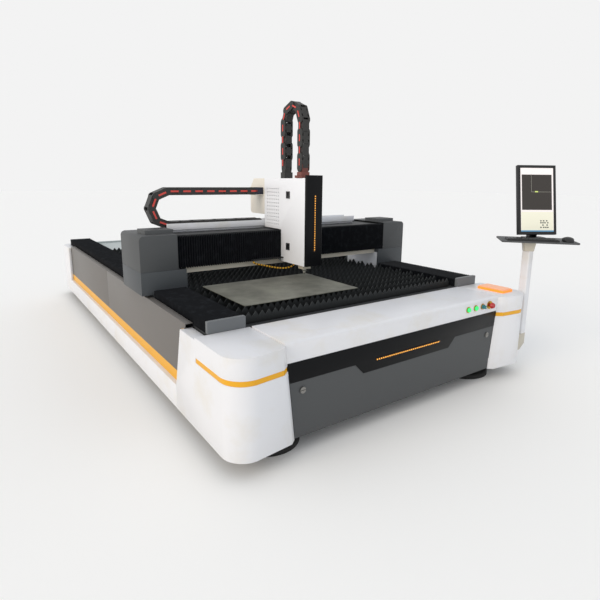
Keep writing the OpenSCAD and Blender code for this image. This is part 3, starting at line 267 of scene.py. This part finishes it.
white_coat = powder_coat("white_powder_coat", "#E6E6E8", 0.38, 0.15, "#DFDBD3")
grey_coat = powder_coat("warm_grey_powder_coat", "#6C6864", 0.5, 0.25)
dark_coat = powder_coat("dark_grey_powder_coat", "#4A4C4D", 0.6, 0.5)
frame_coat = powder_coat("frame_grey_powder_coat", "#2C2E30", 0.6, 0.4)
orange_coat = powder_coat("orange_powder_coat", "#EBAA0E", 0.4, 0.15)
beige_coat = powder_coat("beige_powder_coat", "#C6BFAF", 0.45, 0.2)
leg_coat = powder_coat("slate_powder_coat", "#414548", 0.5, 0.5)
cap_coat = powder_coat("mid_grey_powder_coat", "#6C6F71", 0.5, 0.3)
print("powder coats: 8")

# %% [markdown]
# ## Metals
# Bare steel has a metalness of 1, and its colour is what it mirrors. Ground rails and racks are bright with a
# low roughness. The work sheet is hot rolled steel: a dull olive grey with patches of scale about 150 mm
# across, and the scale hides much of the metal, so its metalness is low. Slats are dark from smoke and slag;
# over that, painted shade darkens them towards their foot, and a painted highlight pales the tips of
# their teeth.

# %% Steel and aluminium
SCALE_MM = 150.0
ground_steel = new_finish("ground_steel", "#A9ABAD", 0.3, 1.0)[0]
polished_steel = new_finish("polished_steel", "#D4D4D2", 0.15, 1.0)[0]
lock_steel = new_finish("plated_steel", "#8C8B88", 0.35, 1.0)[0]
gilt_aluminium = new_finish("gilt_anodised_aluminium", "#C79A36", 0.35, 1.0)[0]
rolled_steel, tree, shader = new_finish("hot_rolled_steel", "#75756C", 0.5, 0.35)
add_wear(tree, shader, ("#66665E", "#8C8C80"), SCALE_MM, (0.3, 0.7))
print("metals: 5")

# %% Smoked steel of the slats, with painted shade and highlight
SLAT_HIGHLIGHT_TOP = 0.650
SLAT_SHADE_FOOT = 0.560
smoked_steel_painted_light, tree, shader = new_finish("smoked_steel_painted_light", "#2B2C2C", 0.55, 0.6)
place = add_node(tree, "ShaderNodeTexCoord")
axes = add_node(tree, "ShaderNodeSeparateXYZ", [("Vector", place.outputs["Object"])])
height = add_node(tree, "ShaderNodeMapRange", [("Value", axes.outputs["Z"])],
                  [("From Min", SLAT_SHADE_FOOT), ("From Max", SLAT_HIGHLIGHT_TOP)])
# Painted shade and highlight: the slats run from dark at their foot, where shade falls between them, to paler
# at the tips of their teeth, where the light catches them.
slat_shade_and_highlight = add_node(tree, "ShaderNodeMix", [("Factor", height.outputs["Result"])], data_type="RGBA")
slat_shade_and_highlight.inputs["A"].default_value = linear("#121314")
slat_shade_and_highlight.inputs["B"].default_value = linear("#3C3F40")
tree.links.new(slat_shade_and_highlight.outputs["Result"], shader.inputs["Base Color"])
print("finish:", smoked_steel_painted_light.name)

# %% [markdown]
# ## Plastics, cloth and dark discs
# Bellows are made of coated cloth: nearly black, with dust in soft patches about 45 mm across. Chains are
# moulded from black nylon, which is matt. The black panels on the head and the drawer are smooth acrylic.

# %% Dark finishes
DUST_MM = 45.0
bellows_cloth, tree, shader = new_finish("coated_bellows_cloth", "#0A0D12", 0.55, shine=0.15)
add_wear(tree, shader, ("#0A0D12", "#24272B"), DUST_MM, (0.5, 0.8))
nylon = new_finish("black_nylon", "#2B2B29", 0.55)[0]
chain_red = new_finish("red_nylon", "#DB4A40", 0.5)[0]
gloss_black = new_finish("black_acrylic", "#101113", 0.35, shine=0.12)[0]
abs_black = new_finish("black_abs", "#17181A", 0.45)[0]
# The discs under the machine's corners are a flat near-black.
floor_disc_black = new_finish("floor_pad_rubber", "#1A1A1A", 0.8)[0]
red_plastic = new_finish("red_plastic", "#B3262A", 0.35)[0]
teal_plastic = new_finish("teal_plastic", "#3E7F86", 0.4)[0]
print("dark finishes: 8")

# %% [markdown]
# ## Lit finishes
# The push buttons glow, and so does the screen further down. A small emission on top of the plastic's own
# colour makes them read as lit without hiding their shape.

# %% Lit plastics
def lit_plastic(name, colour, glow):
    """A plastic that glows in its own colour."""
    made, tree, shader = new_finish(name, colour, 0.4)
    shader.inputs["Emission Color"].default_value = linear(colour)
    shader.inputs["Emission Strength"].default_value = glow
    return made


lit_green = lit_plastic("lit_green_plastic", "#2FD873", 0.6)
print("lit finishes: 1")

# %% [markdown]
# ## Two finishes on one solid
# Some solids carry two finishes that meet at a plane: the dark bar in front of the slats and the pale plate
# behind them, the light points that stand out of their dark bars, the lamp and its lid. A comparison of the
# solid's own coordinate with the plane's place gives 0 or 1, and that picks the colour and the glow.

# %% Split finishes
def split_finish(name, axis, plane, below, above, roughness, glow=(0.0, 0.0)):
    """A finish that changes from one colour to another at a plane across an axis."""
    made, tree, shader = new_finish(name, below, roughness)
    place = add_node(tree, "ShaderNodeTexCoord")
    axes = add_node(tree, "ShaderNodeSeparateXYZ", [("Vector", place.outputs["Object"])])
    past = add_node(tree, "ShaderNodeMath", [(0, axes.outputs[axis])], [(1, plane)], operation="GREATER_THAN")
    tint = add_node(tree, "ShaderNodeMix", [("Factor", past.outputs[0])], data_type="RGBA")
    tint.inputs["A"].default_value = linear(below)
    tint.inputs["B"].default_value = linear(above)
    tree.links.new(tint.outputs["Result"], shader.inputs["Base Color"])
    if max(glow) > 0:
        shine = add_node(tree, "ShaderNodeMapRange", [("Value", past.outputs[0])],
                         [("To Min", glow[0]), ("To Max", glow[1])])
        tree.links.new(tint.outputs["Result"], shader.inputs["Emission Color"])
        tree.links.new(shine.outputs["Result"], shader.inputs["Emission Strength"])
    return made


def front_of(node, depth_mm):
    """A plane a little behind the foremost point of a solid."""
    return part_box(node)[0].y + depth_mm * MM


table_coat = split_finish("table_powder_coat", "Y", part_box("slats")[1].y + 0.005, "#2C2E30", "#B4BBB9", 0.5)
arm_finish = split_finish("carriage_steel", "X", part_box("head_face")[0].x - 0.001, "#17181A", "#8D8F91", 0.4)
slide_finish = split_finish("slide_aluminium", "Z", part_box("head_cover")[1].z, "#C9C2B0", "#7A4238", 0.5)
lamp_finish = split_finish("lit_lamp_plastic", "Z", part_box("signal_lamp")[1].z - 0.0061, "#FF9428", "#F2AC82",
                           0.4, (0.45, 0.22))
cover_finish = split_finish("head_cover_powder_coat", "Y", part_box("head_cover")[1].y - 0.220, "#F5F6F9",
                            "#EDE6D8", 0.38)
plate_finish = split_finish("leg_plate_powder_coat", "Y", front_of("leg_plates", 8.0), "#414548", "#E6E6E8",
                            0.4)
drawer_leds = split_finish("drawer_light_points", "Y", front_of("drawer_light", 1.4), "#FFAE3C", "#5A3C1A",
                           0.4, (1.0, 0.0))
head_leds = split_finish("head_light_points", "Y", front_of("head_light", 1.4), "#FFAE3C", "#5A3C1A",
                         0.4, (1.0, 0.0))
print("split finishes: 8")

# %% [markdown]
# ## Paint the solids
# Most solids are right as they stand and only need their finish. Each solid's object has one material slot,
# and the finish goes there.

# %% Assign the finishes
FINISHES = {
    "side_beams": frame_coat, "cross_frame": frame_coat, "floor_pads": floor_disc_black, "skirts": white_coat,
    "side_bands": orange_coat, "side_panels": grey_coat, "corners_front": white_coat,
    "corners_rear": white_coat, "corner_strips": orange_coat, "front_cover": white_coat,
    "rear_panel": white_coat, "slat_combs": frame_coat, "table_bars": table_coat, "slats": smoked_steel_painted_light,
    "work_sheet": rolled_steel, "scrap_guides": frame_coat, "rails_and_racks": ground_steel,
    "bellows_caps": cap_coat, "bellows_front": bellows_cloth, "bellows_rear": bellows_cloth,
    "button_rings": gilt_aluminium, "signal_lamp": lamp_finish, "console_foot": beige_coat,
    "console_pole": white_coat, "drawer_front": dark_coat, "drawer_band": gloss_black,
    "drawer_light": drawer_leds, "drawer_tray": dark_coat, "drawer_lock_left": lock_steel,
    "drawer_lock_right": lock_steel, "gantry_beam": frame_coat, "gantry_posts": ground_steel,
    "drive_pinions": ground_steel, "leg_covers": leg_coat, "end_covers": dark_coat,
    "leg_plates": plate_finish, "beam_strip": beige_coat, "chain_tray": white_coat,
    "cross_bellows": bellows_cloth, "cross_chain": nylon, "carriage": arm_finish,
    "head_cover": cover_finish, "head_face": gloss_black, "head_light": head_leds,
    "cover_latches": abs_black, "cutting_head": slide_finish, "nozzle": polished_steel,
    "head_chain": nylon, "start_button": lit_green, "feed_button": lit_green, "key_switch": teal_plastic,
    "stop_button": red_plastic, "console_neck": beige_coat, "console_desk": dark_coat,
    "keyboard": abs_black, "mouse": abs_black, "screen_stand": abs_black, "screen_shell": abs_black,
    "screen_panel": abs_black,
}
for name, finish in FINISHES.items():
    nodes[name].data.materials.clear()
    nodes[name].data.materials.append(finish)
print("painted", len(FINISHES), "solids")

# %% [markdown]
# ## Rounded covers
# Folded sheet metal never has a razor edge: each fold has a small radius that catches the light. A copy of
# the solid is merged, its flat faces are joined, and its sharp edges are bevelled. The copy then stands for
# the solid. Edges shorter than a limit, such as those round the vent holes, are left alone.

# %% Round the edges of the covers
MERGE = 1e-5
FLAT = math.radians(0.5)
SHARP = math.radians(35)
COVER_SMOOTH = math.radians(32)


def copy_of(node, name):
    """A merged copy of a solid as a new piece, with its flat faces joined."""
    piece = bpy.data.objects.new(name, nodes[node].data.copy())
    bpy.context.scene.collection.objects.link(piece)
    select_only(piece)
    bpy.ops.mesh.customdata_custom_splitnormals_clear()
    bpy.ops.object.mode_set(mode="EDIT")
    bpy.ops.mesh.select_all(action="SELECT")
    bpy.ops.mesh.remove_doubles(threshold=MERGE)
    bpy.ops.mesh.dissolve_limited(angle_limit=FLAT)
    bpy.ops.object.mode_set(mode="OBJECT")
    return piece


def loose_parts(whole):
    """Splits the active piece into its loose solids."""
    name = whole.name
    bpy.ops.object.mode_set(mode="EDIT")
    bpy.ops.mesh.select_all(action="SELECT")
    bpy.ops.mesh.separate(type="LOOSE")
    bpy.ops.object.mode_set(mode="OBJECT")
    return [o for o in bpy.context.selected_objects if o.name.startswith(name)]


def round_edges(piece, radius_mm, shortest_mm=0.0):
    """Bevels the piece's sharp edges that are longer than a limit."""
    mesh = piece.data
    sides = {}
    for face in mesh.polygons:
        for key in face.edge_keys:
            sides.setdefault(key, []).append(face.normal.copy())
    select_only(piece)
    bpy.ops.object.mode_set(mode="EDIT")
    bpy.ops.mesh.select_mode(type="EDGE")
    bpy.ops.mesh.select_all(action="DESELECT")
    bpy.ops.object.mode_set(mode="OBJECT")
    for edge in mesh.edges:
        pair = sides.get(tuple(sorted(edge.vertices)), [])
        a, b = (mesh.vertices[i].co for i in edge.vertices)
        long_enough = (a - b).length >= shortest_mm * MM
        edge.select = len(pair) == 2 and long_enough and pair[0].angle(pair[1], 0.0) > SHARP
    bpy.ops.object.mode_set(mode="EDIT")
    bpy.ops.mesh.bevel(offset=radius_mm * MM, segments=2, affect="EDGES", clamp_overlap=True)
    bpy.ops.object.mode_set(mode="OBJECT")
    bpy.ops.object.shade_smooth_by_angle(angle=COVER_SMOOTH)


ROUNDED = {"corners_front": (5.0, 0.0, "bed"), "corners_rear": (5.0, 0.0, "bed"),
           "skirts": (2.0, 0.0, "bed"), "side_panels": (1.0, 0.0, "bed"),
           "front_cover": (2.0, 20.0, "bed"), "bellows_caps": (2.0, 20.0, "bed"),
           "end_covers": (3.0, 0.0, "gantry"), "leg_covers": (3.0, 0.0, "gantry"),
           "leg_plates": (1.0, 0.0, "gantry"), "chain_tray": (1.0, 0.0, "gantry"),
           "head_cover": (2.0, 20.0, "carriage"), "head_face": (2.5, 0.0, "carriage"),
           "drawer_front": (1.5, 20.0, "drawer"), "drawer_band": (1.0, 0.0, "drawer"),
           "console_desk": (3.0, 0.0, "console"), "screen_shell": (4.0, 20.0, "screen"),
           "mouse": (4.0, 0.0, "console"), "console_foot": (3.0, 0.0, "bed")}
for node, (radius, shortest, body) in ROUNDED.items():
    piece = copy_of(node, node + "_rounded")
    round_edges(piece, radius, shortest)
    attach(piece, body)
    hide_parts(node)
print("rounded", len(ROUNDED), "covers")

# %% [markdown]
# ## Bellows
# When the gantry moves, the bellows in front of it and behind it fold up or stretch. Here each bellows is a
# copy of its solid with the flat faces joined and the folds shaded smooth, and the copy stands for the solid.

# %% Copy the bellows along the bed
FOLD_SMOOTH = math.radians(20)


def blend_copy(node, name):
    """A smooth copy of a solid that stands for it."""
    piece = copy_of(node, name)
    bpy.ops.object.shade_smooth_by_angle(angle=FOLD_SMOOTH)
    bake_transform(piece)
    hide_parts(node)
    return piece


low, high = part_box("bellows_front")
blend_copy("bellows_front", "front_bellows_folds")
low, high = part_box("bellows_rear")
blend_copy("bellows_rear", "rear_bellows_folds")
print("bellows along the bed: 2 pairs")

# %% Copy the bellows across the beam
low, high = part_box("cross_bellows")
plate_low, plate_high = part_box("head_face")
sides = loose_parts(copy_of("cross_bellows", "beam_bellows"))
sides.sort(key=lambda o: o.data.vertices[0].co.x)
for piece, name, fixed, moving in zip(sides, ("left_beam_bellows", "right_beam_bellows"), (low.x, high.x),
                                      (plate_low.x, plate_high.x)):
    piece.name = name
    select_only(piece)
    bpy.ops.object.shade_smooth_by_angle(angle=FOLD_SMOOTH)
    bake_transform(piece)
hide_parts("cross_bellows")
print("bellows across the beam:", len(sides))

# %% [markdown]
# ## Cable chains
# Both chains are made of the same kind of link, with a red dash moulded into each side plate. Each dash is a
# plain bar, and one is put on each side of every link: a link's middle and direction are read from its own
# solid. Short end pieces get none.

# %% Dash the links
LINK_MIN = 0.100
LINK_SMOOTH = math.radians(30)
CROSS_DASH_MM = (56.0, 12.0, 2.0)
HEAD_DASH_MM = (46.0, 10.0, 2.0)


def dashed_chain(node, name, across, dash_mm):
    """Joins a chain's links with two red dashes on each, on the sides that face across."""
    pieces = loose_parts(copy_of(node, node + "_link"))
    chain_low, chain_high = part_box(node)
    dashes = []
    flat = [i for i in range(3) if i != across]
    for link in pieces:
        points = [v.co for v in link.data.vertices]
        low = [min(p[i] for p in points) for i in range(3)]
        high = [max(p[i] for p in points) for i in range(3)]
        if max(high[i] - low[i] for i in flat) < LINK_MIN:
            continue
        middle = Vector((low[i] + high[i]) / 2 for i in range(3))
        spread = [[sum((p[i] - middle[i]) * (p[j] - middle[j]) for p in points) for j in flat] for i in flat]
        turn = 0.5 * math.atan2(2 * spread[0][1], spread[0][0] - spread[1][1])
        for side in (chain_low[across], chain_high[across]):
            bpy.ops.mesh.primitive_cube_add(size=1.0)
            dash = bpy.context.object
            along = Vector((0, 0, 0))
            along[flat[0]] = math.cos(turn)
            along[flat[1]] = math.sin(turn)
            over = Vector((0, 0, 0))
            over[flat[0]] = -math.sin(turn)
            over[flat[1]] = math.cos(turn)
            out = along.cross(over)
            centre = middle.copy()
            centre[across] = side
            spans = (along * (dash_mm[0] * MM), over * (dash_mm[1] * MM), out * dash_mm[2] * MM)
            dash.matrix_world = Matrix.Translation(centre) @ Matrix(spans).transposed().to_4x4()
            dash.data.materials.append(chain_red)
            dashes.append(dash)
    select_only(*(pieces + dashes))
    bpy.ops.object.transform_apply(location=True, rotation=True, scale=True)
    bpy.ops.object.join()
    chain = bpy.context.object
    chain.name = name
    bpy.ops.object.shade_smooth_by_angle(angle=LINK_SMOOTH)
    print(name, "with", len(pieces), "solids and", len(dashes), "dashes")
    return chain


cross = dashed_chain("cross_chain", "cross_chain_links", 1, CROSS_DASH_MM)
over_head = dashed_chain("head_chain", "head_chain_links", 0, HEAD_DASH_MM)

# %% [markdown]
# Each chain ends in a moulded bracket. The cross chain's is a dark blue block on the head's shelf, and the
# head chain has a tongue between the plates of its last link on each side. They are joined to their chain.

# %% Fit the end brackets
LINK_H = 0.054
bracket_blue = new_finish("dark_blue_nylon", "#1F2233", 0.5)[0]
bracket_red = new_finish("brown_nylon", "#6E3A31", 0.5)[0]


def end_bracket(low, high, finish):
    """A block between two corners, with its edges rounded."""
    bpy.ops.mesh.primitive_cube_add(size=1.0, location=(Vector(low) + Vector(high)) / 2)
    block = bpy.context.object
    block.scale = Vector(high) - Vector(low)
    select_only(block)
    bpy.ops.object.transform_apply(location=True, rotation=True, scale=True)
    block.data.materials.append(finish)
    round_edges(block, 2.0)
    return block


def join_to(chain, blocks):
    """Joins blocks to a chain."""
    select_only(chain, *blocks)
    bpy.ops.object.join()


low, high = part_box("cross_chain")
join_to(cross, [end_bracket((high.x - 0.063, low.y - 0.001, high.z - 0.0525),
                            (high.x + 0.006, high.y + 0.001, high.z + 0.001), bracket_blue)])
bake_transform(cross)
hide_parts("cross_chain")

low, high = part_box("head_chain")
tongues = []
for middle, finish in ((low.y + LINK_H / 2, bracket_red), (high.y - LINK_H / 2, nylon)):
    tongues.append(end_bracket((low.x + 0.0075, middle - 0.024, low.z + 0.042),
                               (high.x - 0.0075, middle + 0.024, low.z + 0.100), finish))
join_to(over_head, tongues)
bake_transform(over_head)
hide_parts("head_chain")
print("end brackets:", 1 + len(tongues))

# %% [markdown]
# ## Picture on the screen
# The operator's screen shows a plain cutting program: a white header, a dark drawing field with two thin axes
# and a small bright mark, and a pale panel with a block of keys. Each is a field of one colour, so each is a
# thin rectangle. They are drawn in the screen's own plane, which is read from its largest face.

# %% Draw the picture
panel = nodes["screen_panel"]
face = max((f for f in panel.data.polygons if f.normal.y < -0.1), key=lambda f: f.area)
out = face.normal.copy()
tilt = next(j for j in frame["joints"] if j["name"] == "screen_tilt")
wide = Vector(tilt["axis"]).normalized()
tall = wide.cross(-out)
points = [v.co for v in panel.data.vertices]
edge = {"left": min(p.dot(wide) for p in points), "right": max(p.dot(wide) for p in points),
        "foot": min(p.dot(tall) for p in points), "top": max(p.dot(tall) for p in points),
        "front": max(p.dot(out) for p in points)}
LAYER = 0.0003
picture_parts = []


def field(share, finish, layer):
    """A rectangle on the screen, from shares of its width and height."""
    bpy.ops.mesh.primitive_plane_add(size=1.0)
    piece = bpy.context.object
    u0, v0, u1, v1 = share
    across = edge["right"] - edge["left"]
    up = edge["top"] - edge["foot"]
    centre = (wide * (edge["left"] + (u0 + u1) / 2 * across) + tall * (edge["foot"] + (v0 + v1) / 2 * up)
              + out * (edge["front"] + layer * LAYER))
    piece.matrix_world = Matrix.Translation(centre) @ Matrix(
        (wide * (u1 - u0) * across, tall * (v1 - v0) * up, out)).transposed().to_4x4()
    piece.data.materials.append(finish)
    picture_parts.append(piece)


screen_white = lit_plastic("lit_screen_white", "#EFE8E6", 0.22)
screen_dark = lit_plastic("lit_screen_brown", "#302B27", 0.12)
screen_cream = lit_plastic("lit_screen_cream", "#E8E6D2", 0.2)
screen_blue = lit_plastic("lit_screen_blue", "#5C93B8", 0.25)
screen_line = lit_plastic("lit_screen_line", "#8B8A80", 0.4)
screen_mark = lit_plastic("lit_screen_mark", "#B6C46A", 0.6)
screen_key = lit_plastic("lit_screen_key", "#3A3F3A", 0.2)
field((0.025, 0.014, 0.975, 0.986), screen_white, 1)
field((0.06, 0.345, 0.93, 0.885), screen_dark, 2)
field((0.035, 0.03, 0.965, 0.315), screen_cream, 2)
field((0.025, 0.014, 0.975, 0.034), screen_blue, 3)
field((0.335, 0.62, 0.342, 0.875), screen_line, 3)
field((0.335, 0.618, 0.92, 0.622), screen_line, 3)
field((0.44, 0.615, 0.53, 0.632), screen_mark, 4)
KEY_ROWS = ((0.17, (0.58, 0.66, 0.75)), (0.14, (0.58, 0.64, 0.70, 0.78)), (0.105, (0.64, 0.76)),
            (0.07, (0.58, 0.66, 0.72, 0.78)))
for row, places in KEY_ROWS:
    for place in places:
        field((place, row, place + 0.042, row + 0.018), screen_key, 4)
select_only(*picture_parts)
bpy.ops.object.transform_apply(location=True, rotation=True, scale=True)
bpy.ops.object.join()
picture = bpy.context.object
picture.name = "screen_picture"
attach(picture, "screen")
print("screen fields:", len(picture_parts))

# %% [markdown]
# ## Floor and light
# The machine stands on a plain pale floor under soft studio light. The world gives an even light from all
# round, and one wide sun from the left gives the covers their shape. Lit by both, the floor comes out as pale
# as the background, so the two meet without a line.

# %% Floor, world and sun
PALE = "#F3F3F3"
SKY = 0.86
SUN = 1.1
SUN_WAY = Vector((0.85, 0.10, -0.35))
SUN_WIDTH = math.radians(35)
FLOOR_SIZE = 120.0
bpy.ops.mesh.primitive_plane_add(size=FLOOR_SIZE)
floor = bpy.context.object
floor.name = "floor"
floor.data.materials.append(new_finish("pale_studio_floor", "#FEFCF8", 0.9)[0])
floor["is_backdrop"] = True
world = bpy.data.worlds.new("studio")
bpy.context.scene.world = world
world.use_nodes = True
tree = world.node_tree
sky = tree.nodes["Background"]
sky.inputs["Color"].default_value = linear("#F3F8FF")
sky.inputs["Strength"].default_value = SKY
seen = add_node(tree, "ShaderNodeBackground", sockets=[("Color", linear(PALE)), ("Strength", 1.0)])
ray = add_node(tree, "ShaderNodeLightPath")
mirrored = add_node(tree, "ShaderNodeMath", [(0, ray.outputs["Is Camera Ray"]),
                                             (1, ray.outputs["Is Glossy Ray"])], operation="MAXIMUM")
through = add_node(tree, "ShaderNodeMath", [(0, mirrored.outputs[0]),
                                            (1, ray.outputs["Is Transmission Ray"])], operation="MAXIMUM")
choice = add_node(tree, "ShaderNodeMixShader", [(0, through.outputs[0]), (1, sky.outputs["Background"]),
                                                (2, seen.outputs["Background"])])
tree.links.new(choice.outputs["Shader"], tree.nodes["World Output"].inputs["Surface"])
sun_data = bpy.data.lights.new("window_light", "SUN")
sun_data.energy = SUN
sun_data.color = linear("#FFF0DC")[:3]
sun_data.angle = SUN_WIDTH
sun = bpy.data.objects.new("window_light", sun_data)
sun.rotation_euler = SUN_WAY.to_track_quat("-Z", "Y").to_euler()
bpy.context.scene.collection.objects.link(sun)
bpy.context.scene.view_settings.view_transform = "Standard"
print("floor, world and one sun")

# %% Measure the visual box
low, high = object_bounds()
print("visual box", [round(b - a, 3) for a, b in zip(low, high)])
